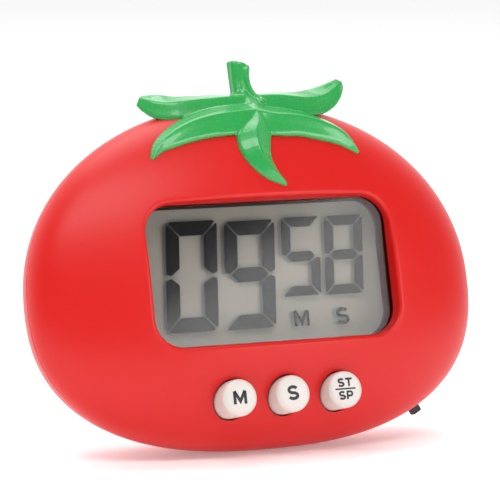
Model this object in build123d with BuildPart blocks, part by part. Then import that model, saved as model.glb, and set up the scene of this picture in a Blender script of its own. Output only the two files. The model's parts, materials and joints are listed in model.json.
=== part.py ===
"""A tomato-shaped digital kitchen timer, modelled as the separate pieces it is assembled from.

The body is a two-shell pillow that leans back on a fold-out leg. Everything is laid out on the body's
face plane: x across the face, y up the face and z out of it, towards the person who reads the display.
The face plane's origin is the middle of the parting line between the shells.
"""

from build123d import *
from math import asin, copysign, cos, degrees, radians, sin, sqrt
import os

os.makedirs("parts", exist_ok=True)

# Body
half_width = 46.3
upper_height = 36.9
lower_height = 30.3
upper_roundness = 2.09
lower_roundness = 2.44
front_bulge = 14.2
rear_bulge = 23.0
back_depth = 16.0
wall = 2.0
lean = 14.5

# Display
window_width = 50.4
window_height = 26.9
window_middle = 3.0
window_corner = 5.4
window_draft = 7.0
lens_front = 9.0
lens_thick = 1.2
lens_border = 1.6
glass_front = 4.6
glass_thick = 1.1
reflector_thick = 0.2
glass_width = 54.4
front_glass_height = 32.0
rear_glass_height = 27.6
frame_width = 57.6
frame_height = 35.2
turret_border = 2.3
zebra_thick = 1.8

# Circuit board
board_front = 0.0
board_thick = 1.2
board_width = 66.4
board_top = 21.5
board_step = -15.2
tongue_width = 41.0
board_bottom = -25.6
board_screw_places = [(-31.1, 12.0), (31.1, 12.0), (-17.9, -20.9), (17.9, -20.9)]
board_screw_radius = 0.9

# Buttons
button_pitch = 10.95
button_row = -20.9
button_radius = 3.5
button_top = 14.1
button_edge = 1.1
button_gap = 0.25
button_flange_radius = 4.3
button_flange_top = 5.2
button_flange_thick = 0.9
plunger_radius = 1.9
dome_top = 2.6
button_names = ["minutes", "seconds", "start_stop"]

# Power switch, seen along the rim of the rear shell
switch_angle = -50.5
switch_depth = -2.3
knob_width = 1.9
knob_breadth = 1.5
knob_stand = 1.9
knob_travel = 2.0
slot_gap = 0.2
switch_length = 8.6
switch_breadth = 3.8
switch_tall = 3.4

# Case screws
case_screw_places = [(-37.4, 1.5), (37.4, 1.5), (-13.5, 28.8), (13.5, 28.8)]
case_screw_radius = 1.25
case_screw_seat = -8.0
case_screw_tip = 4.0
case_head_radius = 2.4
case_head_thick = 1.8
case_post_radius = 3.8

# Battery bay
cell_radius = 5.15
cell_length = 43.5
nub_radius = 1.9
nub_length = 0.8
bay_middle = 12.7
bay_depth = -8.9
bay_length = 52.0
bay_wall = 1.4
plate_thick = 0.4
tail_width = 2.4
tail_up = 8.8
tail_end = -1.6
door_width = 50.8
door_low = 5.2
door_high = 20.0
door_thick = 1.6
door_gap = 0.2
door_barrel = 1.1
door_pin = 0.6

# Kickstand
stand_open = 36.0
stand_width = 15.0
stand_thick = 2.2
stand_hinge_up = -1.2
stand_hinge_depth = -14.5
stand_barrel = 1.4
stand_pin = 0.9
stand_gap = 0.35
stand_skin = 1.3

# Magnets and buzzer
magnet_radius = 5.0
magnet_thick = 2.0
magnet_place = (16.2, -8.0)
magnet_proud = 0.15
buzzer_place = (-27.6, -7.5)
buzzer_radius = 7.5
buzzer_depth = -10.4
buzzer_thick = 0.2
ceramic_radius = 5.0

# Calyx
peg_across = 1.8
peg_depth = 6.0
peg_up = 34.3
peg_radius = 1.7
peg_length = 5.0

pin_clearance = 0.05

# The lowest point of the leaning rear shell touches the table,
# and the whole object is centred over the origin.
centre_height = sqrt((lower_height * cos(radians(lean))) ** 2 + (rear_bulge * sin(radians(lean))) ** 2)
centre_back = -2.4

face = Plane(
    origin=(0, centre_back, centre_height),
    x_dir=(1, 0, 0),
    z_dir=(0, -cos(radians(lean)), sin(radians(lean))),
)


def level(depth):
    """The face plane moved out of the body by depth, or into it if depth is negative."""
    return face.offset(depth)


def roundness(up):
    """Exponent of the outline's superellipse, which is squarer below the middle than above it."""
    return upper_roundness if up >= 0 else lower_roundness


def outline(depth, bulge, inset=0.0):
    """The body's outline at a depth, as a face on that level. inset makes every half-size smaller."""
    scale = sqrt(1 - (depth / (bulge - inset)) ** 2)
    points = []
    for step in range(48):
        angle = radians(360 * step / 48)
        power = 2 / roundness(sin(angle))
        tall = (upper_height if sin(angle) >= 0 else lower_height) - inset
        across = copysign(abs(cos(angle)) ** power, cos(angle)) * (half_width - inset)
        up = copysign(abs(sin(angle)) ** power, sin(angle)) * tall
        points.append((across * scale, up * scale))
    with BuildSketch(level(depth)) as shape:
        with BuildLine():
            Spline(*points, periodic=True)
        make_face()
    return shape.sketch


def place(x, up, depth):
    """A point given on the face plane, in the part's own frame."""
    return face.from_local_coords(Vector(x, up, depth))


def skin_scale(x, up, depth):
    """1 on the body's outer surface, less inside it and more outside it."""
    tall = upper_height if up >= 0 else lower_height
    power = roundness(up)
    bulge = front_bulge if depth >= 0 else rear_bulge
    flat = (abs(x / half_width) ** power + abs(up / tall) ** power) ** (1 / power)
    return sqrt(flat**2 + (depth / bulge) ** 2)


def skin_normal(x, up, depth):
    """The outer surface's normal near a point, on the face plane."""
    step = 0.01
    slope = Vector(
        skin_scale(x + step, up, depth) - skin_scale(x - step, up, depth),
        skin_scale(x, up + step, depth) - skin_scale(x, up - step, depth),
        skin_scale(x, up, depth + step) - skin_scale(x, up, depth - step),
    )
    return slope.normalized()


def on_skin(x, up, depth, lift=0.0):
    """The point of the outer surface on the ray from the body's middle, lifted off along the normal."""
    reach = 1 / skin_scale(x, up, depth)
    point = Vector(x, up, depth) * reach
    return point + skin_normal(*point) * lift


# ---------------------------------------------------------------- forms the shells are cut from

front_steps = [-12, 0, 12, 24, 36, 48, 60, 72, 80]
rear_limit = degrees(asin(back_depth / rear_bulge))

with BuildPart() as front_form:
    for angle in front_steps:
        add(outline(front_bulge * sin(radians(angle)), front_bulge))
    loft()
    split(bisect_by=level(0), keep=Keep.TOP)

with BuildPart() as front_room:
    for angle in front_steps:
        add(outline((front_bulge - wall) * sin(radians(angle)), front_bulge, wall))
    loft()

with BuildPart() as rear_form:
    for angle in [-12, 0, 12, 24, 36, rear_limit]:
        add(outline(-rear_bulge * sin(radians(angle)), rear_bulge))
    loft()
    split(bisect_by=level(0), keep=Keep.BOTTOM)
    back_rim = face.offset(-back_depth)
    fillet(edges().group_by(Axis(back_rim.origin, back_rim.z_dir))[0], 3.0)

room_limit = degrees(asin((back_depth - wall) / (rear_bulge - wall)))
with BuildPart() as rear_room:
    for angle in [-12, 0, 12, 24, 33, room_limit]:
        add(outline(-(rear_bulge - wall) * sin(radians(angle)), rear_bulge, wall))
    loft()


button_places = [(-button_pitch, button_row), (0, button_row), (button_pitch, button_row)]
lens_back = lens_front - lens_thick


def window_shape(border=0.0):
    """The window's rounded rectangle, grown by a border all round."""
    with BuildSketch() as shape:
        with Locations((0, window_middle)):
            RectangleRounded(
                window_width + 2 * border, window_height + 2 * border, window_corner + border
            )
    return shape.sketch


# ---------------------------------------------------------------- power switch layout

rim_power = 2 / lower_roundness
slot_across = half_width * cos(radians(switch_angle)) ** rim_power
slot_up = -lower_height * abs(sin(radians(switch_angle))) ** rim_power
slot_point = on_skin(slot_across, slot_up, switch_depth)
rim_out = skin_normal(slot_point.X, slot_point.Y, 0)
rim_along = Vector(-rim_out.Y, rim_out.X, 0)
switch_plane = Plane(
    origin=place(*slot_point),
    x_dir=place(*rim_along) - place(0, 0, 0),
    z_dir=place(*rim_out) - place(0, 0, 0),
)
switch_front = -3.0
slider_depth = 1.5
slider_length = 2.6
slider_breadth = 1.7
knob_rest = knob_travel / 2

# ---------------------------------------------------------------- case

stand_floor = stand_hinge_depth + stand_barrel + stand_gap
bay_half = cell_radius + 0.45
bay_front = bay_depth + cell_radius + 0.15
frame_depth = -12.6
magnet_floor = magnet_thick - magnet_proud - back_depth
magnet_places = [magnet_place, (-magnet_place[0], magnet_place[1])]
door_hinge_up = door_low + door_barrel
door_hinge_depth = door_barrel - back_depth
door_inner = door_thick - back_depth
lip_height = 0.9
lip_thick = 0.95
peg_plane = Plane(origin=place(peg_across, peg_up, peg_depth), z_dir=face.y_dir)

with BuildPart() as front_shell:
    add(front_form.part)
    add(front_room.part, mode=Mode.SUBTRACT)
    with BuildSketch(level(lens_back)):
        add(window_shape(turret_border + 0.6))
    extrude(amount=front_bulge)
    with BuildSketch(level(button_flange_top + 0.1)):
        with Locations(*button_places):
            Circle(button_radius + button_gap + 1.2)
    extrude(amount=front_bulge)
    with BuildSketch(level(0)):
        with Locations(*case_screw_places):
            Circle(3.0)
        with Locations(*board_screw_places):
            Circle(2.1)
    extrude(amount=front_bulge)
    add(front_form.part, mode=Mode.INTERSECT)
    with BuildSketch(level(lens_front)):
        add(window_shape())
    extrude(amount=front_bulge, taper=-window_draft, mode=Mode.SUBTRACT)
    with BuildSketch(level(lens_back)):
        add(window_shape(lens_border))
    extrude(amount=lens_thick, mode=Mode.SUBTRACT)
    with BuildSketch(level(0)):
        with Locations(*button_places):
            Circle(button_radius + button_gap)
    extrude(amount=front_bulge, mode=Mode.SUBTRACT)
    with BuildSketch(level(0)):
        with Locations(*case_screw_places):
            Circle(case_screw_radius + 0.02)
        with Locations(*board_screw_places):
            Circle(board_screw_radius + 0.02)
    extrude(amount=case_screw_tip + 0.4, mode=Mode.SUBTRACT)
    # the step that the rear shell's lip sits in
    add(outline(0, front_bulge, wall - lip_thick) - outline(0, front_bulge, wall + 0.3))
    extrude(amount=lip_height + 0.05, mode=Mode.SUBTRACT)
    # the hole for the calyx's peg
    with Locations(Location(peg_plane)):
        Cylinder(peg_radius, 2 * peg_length, mode=Mode.SUBTRACT)

front_shell.part.label = "front_shell"
export_step(front_shell.part, "parts/front_shell.step")

with BuildPart() as rear_shell:
    add(rear_form.part)
    add(rear_room.part, mode=Mode.SUBTRACT)
    # screw posts
    with BuildSketch(level(0)):
        with Locations(*case_screw_places):
            Circle(case_post_radius)
    extrude(amount=-rear_bulge)
    # battery bay walls and the thicker frame round its door
    with BuildSketch(level(bay_front + 1.0)):
        with Locations((0, bay_middle)):
            Rectangle(bay_length + 2 * bay_wall, 2 * (bay_half + bay_wall))
    extrude(amount=-rear_bulge)
    with BuildSketch(level(frame_depth)):
        with Locations((0, (door_low + door_high) / 2)):
            Rectangle(door_width + 5.6, door_high - door_low + 3.2)
    extrude(amount=-rear_bulge)
    # the skin in front of the stand's recess
    with BuildSketch(level(stand_floor + stand_skin)):
        with Locations((0, stand_hinge_up + stand_barrel + stand_gap + stand_skin)):
            Rectangle(
                stand_width + 2 * (stand_gap + 2.0), 40, align=(Align.CENTER, Align.MAX)
            )
    extrude(amount=-rear_bulge)
    # magnet cups
    with BuildSketch(level(magnet_floor + 1.2)):
        with Locations(*magnet_places):
            Circle(magnet_radius + 1.2)
    extrude(amount=-rear_bulge)
    # ring that the buzzer's plate is glued to
    with BuildSketch(level(buzzer_depth + 0.5)):
        with Locations(buzzer_place):
            Circle(buzzer_radius + 1.2)
            Circle(buzzer_radius - 0.9, mode=Mode.SUBTRACT)
    extrude(amount=-rear_bulge)
    # rails that hold the power switch
    with BuildSketch(switch_plane.offset(switch_front - switch_tall)):
        for side in (-1, 1):
            with Locations((side * (switch_length / 2 + 0.8), 0)):
                Rectangle(1.4, switch_breadth)
    extrude(amount=switch_tall - switch_front)
    add(rear_form.part, mode=Mode.INTERSECT)
    # lip inside the parting line
    add(outline(0, front_bulge, wall - lip_thick + 0.05) - outline(0, front_bulge, wall))
    extrude(amount=lip_height)
    # battery bay
    with BuildSketch(level(bay_front)):
        with Locations((0, bay_middle)):
            Rectangle(bay_length, 2 * bay_half)
    extrude(amount=wall - back_depth - bay_front, mode=Mode.SUBTRACT)
    with BuildSketch(level(bay_front)):
        with Locations((0, bay_middle)):
            Rectangle(door_width - 2.4, 2 * bay_half)
    extrude(amount=-rear_bulge, mode=Mode.SUBTRACT)
    # seat of the door, deeper along its hinge
    with BuildSketch(level(door_inner)):
        with Locations((0, (door_low + door_high) / 2)):
            Rectangle(door_width + 2 * door_gap, door_high - door_low + 2 * door_gap)
    extrude(amount=-rear_bulge, mode=Mode.SUBTRACT)
    with BuildSketch(level(door_hinge_depth + door_barrel + door_gap)):
        with Locations((0, door_hinge_up)):
            Rectangle(door_width + 2 * door_gap, 2 * (door_barrel + door_gap))
    extrude(amount=-rear_bulge, mode=Mode.SUBTRACT)
    with Locations(Location(Plane(place(0, door_hinge_up, door_hinge_depth), z_dir=(1, 0, 0)))):
        Cylinder(door_pin + pin_clearance, door_width + 2.6, mode=Mode.SUBTRACT)
    # finger notch above the door
    with BuildSketch(level(door_inner)):
        with Locations((0, door_high)):
            SlotOverall(14, 5)
    extrude(amount=-rear_bulge, mode=Mode.SUBTRACT)
    # slots that the battery contacts' tails pass through
    with BuildSketch(level(bay_front)):
        for side in (-1, 1):
            with Locations((side * (bay_length / 2 - 0.3), tail_up)):
                Rectangle(0.8, tail_width + 0.4)
    extrude(amount=2.0, mode=Mode.SUBTRACT)
    # recess that the stand folds into
    with BuildSketch(level(stand_floor)):
        with Locations((0, stand_hinge_up + stand_barrel + stand_gap)):
            Rectangle(stand_width + 2 * stand_gap, 40, align=(Align.CENTER, Align.MAX))
    extrude(amount=-rear_bulge, mode=Mode.SUBTRACT)
    with Locations(Location(Plane(place(0, stand_hinge_up, stand_hinge_depth), z_dir=(1, 0, 0)))):
        Cylinder(stand_pin + pin_clearance, stand_width + 2.8, mode=Mode.SUBTRACT)
    # magnet pockets, the buzzer's ledge and its sound holes
    with BuildSketch(level(magnet_floor)):
        with Locations(*magnet_places):
            Circle(magnet_radius + pin_clearance)
    extrude(amount=-rear_bulge, mode=Mode.SUBTRACT)
    with BuildSketch(level(buzzer_depth)):
        with Locations(buzzer_place):
            Circle(buzzer_radius + pin_clearance)
    extrude(amount=1.0, mode=Mode.SUBTRACT)
    with BuildSketch(level(buzzer_depth)):
        with Locations(buzzer_place):
            Circle(0.9)
            with PolarLocations(3.6, 6):
                Circle(0.9)
    extrude(amount=-rear_bulge, mode=Mode.SUBTRACT)
    # screw holes, counterbored from the back
    with BuildSketch(level(0)):
        with Locations(*case_screw_places):
            Circle(case_screw_radius + 0.1)
    extrude(amount=-rear_bulge, mode=Mode.SUBTRACT)
    with BuildSketch(level(case_screw_seat)):
        with Locations(*case_screw_places):
            Circle(case_head_radius + 0.3)
    extrude(amount=-rear_bulge, mode=Mode.SUBTRACT)
    # slot that the switch's knob comes out of
    with BuildSketch(switch_plane.offset(-wall - 1)):
        SlotOverall(knob_width + knob_travel + 2 * slot_gap + 0.4, knob_breadth + 2 * slot_gap)
    extrude(amount=wall + 3, mode=Mode.SUBTRACT)

rear_shell.part.label = "rear_shell"
export_step(rear_shell.part, "parts/rear_shell.step")

# ---------------------------------------------------------------- display

with BuildPart() as display_lens:
    with BuildSketch(level(lens_back)):
        add(window_shape(lens_border - 0.05))
    extrude(amount=lens_thick)
display_lens.part.label = "display_lens"
export_step(display_lens.part, "parts/display_lens.step")

with BuildPart() as lcd_frame:
    with BuildSketch(level(board_front)):
        with Locations((0, window_middle)):
            RectangleRounded(frame_width, frame_height, 2.0)
            Rectangle(glass_width + 0.2, front_glass_height + 0.2, mode=Mode.SUBTRACT)
    extrude(amount=glass_front - board_front)
    with BuildSketch(level(glass_front)):
        add(window_shape(turret_border))
        add(window_shape(), mode=Mode.SUBTRACT)
    extrude(amount=lens_back - glass_front)
    with BuildSketch(level(glass_front)):
        with Locations((0, window_middle)):
            RectangleRounded(frame_width, frame_height, 6.0)
        add(window_shape(), mode=Mode.SUBTRACT)
    extrude(amount=0.8)
lcd_frame.part.label = "lcd_frame"
export_step(lcd_frame.part, "parts/lcd_frame.step")

rear_glass_front = glass_front - glass_thick
rear_glass_back = rear_glass_front - glass_thick
display_layers = {
    "lcd_front_glass": (front_glass_height, rear_glass_front, glass_thick),
    "lcd_rear_glass": (rear_glass_height, rear_glass_back, glass_thick),
    "lcd_reflector": (rear_glass_height - 0.6, rear_glass_back - reflector_thick, reflector_thick),
}
for name, (height, depth, thickness) in display_layers.items():
    with BuildPart() as layer:
        with BuildSketch(level(depth)):
            with Locations((0, window_middle)):
                Rectangle(glass_width - 0.2, height)
        extrude(amount=thickness)
    layer.part.label = name
    export_step(layer.part, f"parts/{name}.step")

zebra_offset = (front_glass_height + rear_glass_height) / 4
for name, side in (("lower_zebra_strip", -1), ("upper_zebra_strip", 1)):
    with BuildPart() as zebra_strip:
        with BuildSketch(level(board_front)):
            with Locations((0, window_middle + side * zebra_offset)):
                Rectangle(glass_width - 6, zebra_thick)
        extrude(amount=rear_glass_front - board_front)
    zebra_strip.part.label = name
    export_step(zebra_strip.part, f"parts/{name}.step")

# ---------------------------------------------------------------- circuit board

board_back = board_front - board_thick

with BuildPart() as main_board:
    with BuildSketch(level(board_front)):
        with Locations((0, (board_top + board_step) / 2)):
            RectangleRounded(board_width, board_top - board_step, 3.0)
        with Locations((0, board_bottom)):
            Rectangle(tongue_width, board_step + 3.0 - board_bottom, align=(Align.CENTER, Align.MIN))
        with Locations(*board_screw_places):
            Circle(board_screw_radius + 0.2, mode=Mode.SUBTRACT)
    extrude(amount=-board_thick)
main_board.part.label = "main_board"
export_step(main_board.part, "parts/main_board.step")

with BuildPart() as board_screws:
    with BuildSketch(level(board_back)):
        with Locations(*board_screw_places):
            Circle(board_screw_radius)
    extrude(amount=board_thick + 3.2)
    with BuildSketch(level(board_back)):
        with Locations(*board_screw_places):
            Circle(1.7)
    extrude(amount=-1.2)
    with BuildSketch(level(board_back - 1.2)):
        with Locations(*board_screw_places):
            Rectangle(2.0, 0.5)
            Rectangle(0.5, 2.0)
    extrude(amount=0.7, mode=Mode.SUBTRACT)
board_screws.part.label = "board_screws"
export_step(board_screws.part, "parts/board_screws.step")

with BuildPart() as timer_chip:
    with BuildSketch(level(board_back)):
        with Locations((-3, -6)):
            Circle(5.0)
    extrude(amount=-1.5)
    fillet(edges().group_by(Axis(face.origin, face.z_dir))[0], 1.3)
timer_chip.part.label = "timer_chip"
export_step(timer_chip.part, "parts/timer_chip.step")

with BuildPart() as quartz_crystal:
    with Locations(Location(Plane(place(10, -8, board_back - 1.0), z_dir=(1, 0, 0)))):
        Cylinder(1.0, 6.0)
    with BuildSketch(Plane(place(13, -8, board_back - 1.0), z_dir=(1, 0, 0))):
        with GridLocations(0, 0.8, 1, 2):
            Circle(0.15)
    extrude(amount=2.0)
quartz_crystal.part.label = "quartz_crystal"
export_step(quartz_crystal.part, "parts/quartz_crystal.step")

chip_places = [(-14, -3), (-14, -6.5), (-12, -11), (-7, -13), (4, -2), (17, -4), (17, -12), (22, -2)]
with BuildPart() as board_components:
    with BuildSketch(level(board_back)):
        with Locations(*chip_places):
            Rectangle(2.0, 1.25)
    extrude(amount=-0.6)
    with BuildSketch(level(board_back)):
        with Locations((-19, -2), (5, -12.5)):
            Rectangle(2.9, 1.3)
    extrude(amount=-1.0)
board_components.part.label = "board_components"
export_step(board_components.part, "parts/board_components.step")

# ---------------------------------------------------------------- buttons

for name, middle in zip(button_names, button_places):
    with BuildPart() as button:
        with BuildSketch(level(button_flange_top)):
            with Locations(middle):
                Circle(button_radius)
        extrude(amount=button_top - button_flange_top)
        fillet(edges().group_by(Axis(face.origin, face.z_dir))[-1], button_edge)
        with BuildSketch(level(button_flange_top)):
            with Locations(middle):
                Circle(button_flange_radius)
        extrude(amount=-button_flange_thick)
        with BuildSketch(level(dome_top)):
            with Locations(middle):
                Circle(plunger_radius)
        extrude(amount=button_flange_top - button_flange_thick - dome_top)
    button.part.label = f"{name}_button"
    export_step(button.part, f"parts/{name}_button.step")

    with BuildPart() as dome:
        with BuildSketch(level(board_front)):
            with Locations(middle):
                Circle(4.0)
        extrude(amount=0.8)
        with BuildSketch(level(board_front + 0.8)):
            with Locations(middle):
                Circle(3.3)
        with BuildSketch(level(dome_top)):
            with Locations(middle):
                Circle(plunger_radius + 0.3)
        loft()
        with BuildSketch(level(board_front)):
            with Locations(middle):
                Circle(2.6)
        with BuildSketch(level(dome_top - 0.9)):
            with Locations(middle):
                Circle(1.6)
        loft(mode=Mode.SUBTRACT)
    dome.part.label = f"{name}_dome"
    export_step(dome.part, f"parts/{name}_dome.step")

# ---------------------------------------------------------------- power switch

with BuildPart() as power_switch:
    with BuildSketch(switch_plane.offset(switch_front - switch_tall)):
        Rectangle(switch_length, switch_breadth)
    extrude(amount=switch_tall)
    with BuildSketch(switch_plane.offset(switch_front)):
        Rectangle(slider_length + knob_travel + 0.2, slider_breadth + 0.2)
    extrude(amount=-slider_depth - 0.1, mode=Mode.SUBTRACT)
    with BuildSketch(switch_plane.offset(switch_front - switch_tall)):
        with GridLocations(2.5, 0, 3, 1):
            Rectangle(0.6, 0.5)
    extrude(amount=-2.0)
power_switch.part.label = "power_switch"
export_step(power_switch.part, "parts/power_switch.step")

with BuildPart() as switch_knob:
    with BuildSketch(switch_plane.offset(switch_front - slider_depth)):
        with Locations((knob_rest, 0)):
            Rectangle(slider_length, slider_breadth)
    extrude(amount=slider_depth)
    with BuildSketch(switch_plane.offset(switch_front)):
        with Locations((knob_rest, 0)):
            Rectangle(knob_width, knob_breadth)
    extrude(amount=knob_stand - switch_front)
    fillet(edges().group_by(Axis(switch_plane.origin, switch_plane.z_dir))[-1], 0.35)
switch_knob.part.label = "switch_knob"
export_step(switch_knob.part, "parts/switch_knob.step")

# ---------------------------------------------------------------- buzzer

buzzer_front = buzzer_depth + buzzer_thick
with BuildPart() as buzzer_plate:
    with BuildSketch(level(buzzer_depth)):
        with Locations(buzzer_place):
            Circle(buzzer_radius)
    extrude(amount=buzzer_thick)
buzzer_plate.part.label = "buzzer_plate"
export_step(buzzer_plate.part, "parts/buzzer_plate.step")

with BuildPart() as buzzer_ceramic:
    with BuildSketch(level(buzzer_front)):
        with Locations(buzzer_place):
            Circle(ceramic_radius)
    extrude(amount=buzzer_thick)
buzzer_ceramic.part.label = "buzzer_ceramic"
export_step(buzzer_ceramic.part, "parts/buzzer_ceramic.step")

# ---------------------------------------------------------------- battery and contacts

plate_inner = bay_length / 2 - plate_thick
cell_front = plate_inner - nub_length
cell_back = cell_front - cell_length

with BuildPart() as battery:
    with BuildSketch(Plane(place(cell_back, bay_middle, bay_depth), z_dir=(1, 0, 0))):
        Circle(cell_radius)
    extrude(amount=cell_length)
    fillet(edges().group_by(Axis.X)[-1], 0.6)
    with BuildSketch(Plane(place(cell_front, bay_middle, bay_depth), z_dir=(1, 0, 0))):
        Circle(nub_radius)
    extrude(amount=nub_length)
battery.part.label = "battery"
export_step(battery.part, "parts/battery.step")

for name, side in (("spring_plate", -1), ("positive_plate", 1)):
    with BuildPart() as plate:
        with BuildSketch(Plane(place(side * plate_inner, bay_middle, bay_depth), z_dir=(side, 0, 0))):
            Circle(cell_radius - 0.2)
        extrude(amount=plate_thick)
        with BuildSketch(level(bay_depth)):
            with Locations((side * (plate_inner + plate_thick / 2), tail_up)):
                Rectangle(plate_thick, tail_width)
        extrude(amount=tail_end - bay_depth)
    plate.part.label = name
    export_step(plate.part, f"parts/{name}.step")

spring_wire = 0.3
spring_radius = 3.4
spring_span = cell_back + plate_inner - 2 * spring_wire - 0.1
with BuildPart() as battery_spring:
    with BuildLine():
        coil = Helix(
            pitch=spring_span / 4,
            height=spring_span,
            radius=spring_radius,
            center=place(spring_wire + 0.05 - plate_inner, bay_middle, bay_depth),
            direction=(1, 0, 0),
        )
    with BuildSketch(Plane(origin=coil @ 0, z_dir=coil % 0)):
        Circle(spring_wire)
    sweep(path=coil, is_frenet=True)
battery_spring.part.label = "battery_spring"
export_step(battery_spring.part, "parts/battery_spring.step")

with BuildPart() as battery_door:
    with BuildSketch(level(door_inner)):
        with Locations((0, door_hinge_up)):
            Rectangle(door_width, door_high - door_hinge_up, align=(Align.CENTER, Align.MIN))
    extrude(amount=-rear_bulge)
    with Locations(Location(Plane(place(0, door_hinge_up, door_hinge_depth), z_dir=(1, 0, 0)))):
        Cylinder(door_barrel, door_width)
    add(rear_form.part, mode=Mode.INTERSECT)
    with Locations(Location(Plane(place(0, door_hinge_up, door_hinge_depth), z_dir=(1, 0, 0)))):
        Cylinder(door_pin, door_width + 2.2)
    # thumb dish that helps to lift the upper edge
    with BuildSketch(level(0.5 - back_depth)):
        with Locations((0, door_high - 2.6)):
            SlotOverall(10, 2.4)
    extrude(amount=-rear_bulge, mode=Mode.SUBTRACT)
battery_door.part.label = "battery_door"
export_step(battery_door.part, "parts/battery_door.step")

# ---------------------------------------------------------------- kickstand

hinge_height = place(0, stand_hinge_up, stand_hinge_depth).Z
foot_angle = radians(stand_open - lean)
foot_radius = stand_thick / 2
stand_length = (hinge_height - foot_radius) / cos(foot_angle)
stand_plane = Plane(
    origin=place(0, stand_hinge_up, stand_hinge_depth),
    x_dir=(1, 0, 0),
    z_dir=(0, -cos(foot_angle), -sin(foot_angle)),
)

with BuildPart() as kickstand:
    with BuildSketch(stand_plane.offset(-foot_radius)):
        Rectangle(stand_width, stand_length, align=(Align.CENTER, Align.MAX))
    extrude(amount=stand_thick)
    hinge_line = Plane(stand_plane.origin, z_dir=(1, 0, 0))
    foot_line = Plane(stand_plane.from_local_coords(Vector(0, -stand_length, 0)), z_dir=(1, 0, 0))
    with Locations(Location(foot_line)):
        Cylinder(foot_radius, stand_width)
    with Locations(Location(hinge_line)):
        Cylinder(stand_barrel, stand_width)
        Cylinder(stand_pin, stand_width + 2.4)
    # thinned panel between the leg's side rails
    with BuildSketch(stand_plane.offset(0.2)):
        with Locations((0, -stand_length / 2 - 1.0)):
            RectangleRounded(stand_width - 4, stand_length - 9, 1.5)
    extrude(amount=stand_thick, mode=Mode.SUBTRACT)
kickstand.part.label = "kickstand"
export_step(kickstand.part, "parts/kickstand.step")

# ---------------------------------------------------------------- magnets and case screws

for name, middle in zip(("right_magnet", "left_magnet"), magnet_places):
    with BuildPart() as magnet:
        with BuildSketch(level(magnet_floor)):
            with Locations(middle):
                Circle(magnet_radius)
        extrude(amount=-magnet_thick)
    magnet.part.label = name
    export_step(magnet.part, f"parts/{name}.step")

with BuildPart() as case_screws:
    with BuildSketch(level(case_screw_seat)):
        with Locations(*case_screw_places):
            Circle(case_screw_radius)
    extrude(amount=case_screw_tip - case_screw_seat)
    with BuildSketch(level(case_screw_seat)):
        with Locations(*case_screw_places):
            Circle(case_head_radius)
    extrude(amount=-case_head_thick)
    with BuildSketch(level(case_screw_seat - case_head_thick)):
        with Locations(*case_screw_places):
            Rectangle(2.8, 0.6)
            Rectangle(0.6, 2.8)
    extrude(amount=1.0, mode=Mode.SUBTRACT)
case_screws.part.label = "case_screws"
export_step(case_screws.part, "parts/case_screws.step")

# ---------------------------------------------------------------- wires

terminal_drop = switch_front - switch_tall - 2.0
switch_terminal = [slot_point.X + rim_out.X * terminal_drop, slot_point.Y + rim_out.Y * terminal_drop]
switch_turn = [middle + 2.6 * step for middle, step in zip(switch_terminal, (-rim_out.X, -rim_out.Y))]
wire_runs = {
    "battery_wires": (
        0.45,
        [
            [
                (26.0, tail_up, -1.95),
                (31.9, tail_up, -2.4),
                (31.6, 0.5, -6.5),
                (29.5, -6.5, -6.2),
                (29.5, -6.5, board_back),
            ],
            [
                (-26.0, tail_up, -1.95),
                (-31.9, tail_up, -2.4),
                (-31.8, 1.5, -6.0),
                (-31.0, -4.5, -6.2),
                (-31.0, -4.5, board_back),
            ],
        ],
    ),
    "buzzer_wires": (
        0.35,
        [
            [
                (-27.6, -7.5, buzzer_front + buzzer_thick),
                (-27.6, -7.5, -5.5),
                (-22.0, -7.0, -5.2),
                (-22.0, -7.0, board_back),
            ],
            [
                (-25.5, -13.2, buzzer_front),
                (-25.5, -13.2, -5.6),
                (-20.3, -12.4, -5.2),
                (-20.3, -12.4, board_back),
            ],
        ],
    ),
    "switch_wires": (
        0.35,
        [
            [
                (*switch_terminal, switch_depth),
                (*switch_turn, switch_depth),
                (24.8, -11.5, -5.2),
                (24.6, -8.6, -5.2),
                (24.6, -8.6, board_back),
            ],
        ],
    ),
}
for name, (thickness, runs) in wire_runs.items():
    with BuildPart() as wires:
        for run in runs:
            corners = [place(*point) for point in run]
            radii = []
            for before, corner, after in zip(corners, corners[1:], corners[2:]):
                shorter = min((corner - before).length, (after - corner).length)
                half_turn = radians((corner - before).get_angle(after - corner)) / 2
                radii.append(0.45 * shorter * cos(half_turn) / sin(half_turn))
            print(name, "bend radii", [round(radius, 1) for radius in radii])
            with BuildLine() as route:
                FilletPolyline(*corners, radius=radii)
            with BuildSketch(Plane(origin=route.line @ 0, z_dir=route.line % 0)):
                Circle(thickness)
            sweep(path=route.line)
    wires.part.label = name
    export_step(wires.part, f"parts/{name}.step")

# ---------------------------------------------------------------- calyx

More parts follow.
